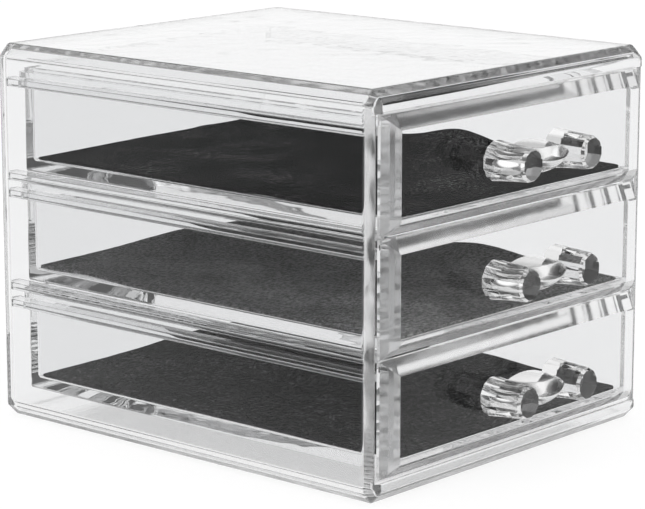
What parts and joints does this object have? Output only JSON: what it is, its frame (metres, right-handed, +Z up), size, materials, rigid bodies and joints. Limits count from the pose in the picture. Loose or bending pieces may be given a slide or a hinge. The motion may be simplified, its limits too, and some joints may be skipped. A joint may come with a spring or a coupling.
{
  "type": "jewellery organizer with drawers",
  "caption": "Clear chamfered desktop case with stacked sliding drawers, each with a bevelled front, a faceted pull and a black felt pad, for keeping jewellery.",
  "frame": {"origin": "middle of the case's underside", "axes": "+Z up, -Y out of the drawer fronts, +X to the right seen from the front"},
  "size_m": [0.144, 0.1877, 0.13],
  "materials": {
    "clear_case": "clear moulded plastic, polished",
    "clear_drawer": "clear moulded plastic, polished",
    "clear_pull": "clear moulded plastic, faceted and polished",
    "black_felt": "matt black felt"
  },
  "bodies": {
    "case": {"case_shell": "clear_case", "lower_left_rail": "clear_case", "lower_left_guide": "clear_case", "lower_right_rail": "clear_case", "lower_right_guide": "clear_case", "middle_left_rail": "clear_case", "middle_left_guide": "clear_case", "middle_right_rail": "clear_case", "middle_right_guide": "clear_case", "upper_left_rail": "clear_case", "upper_right_rail": "clear_case"},
    "lower_drawer": {"lower_tray": "clear_drawer", "lower_pull": "clear_pull", "lower_pad": "black_felt"},
    "middle_drawer": {"middle_tray": "clear_drawer", "middle_pull": "clear_pull", "middle_pad": "black_felt"},
    "upper_drawer": {"upper_tray": "clear_drawer", "upper_pull": "clear_pull", "upper_pad": "black_felt"}
  },
  "joints": [
    {"name": "lower_drawer_slide", "type": "slide", "parent": "case", "child": "lower_drawer", "axis": [0, -1, 0], "range_m": [0, 0.125]},
    {"name": "middle_drawer_slide", "type": "slide", "parent": "case", "child": "middle_drawer", "axis": [0, -1, 0], "range_m": [0, 0.125]},
    {"name": "upper_drawer_slide", "type": "slide", "parent": "case", "child": "upper_drawer", "axis": [0, -1, 0], "range_m": [0, 0.125]}
  ]
}
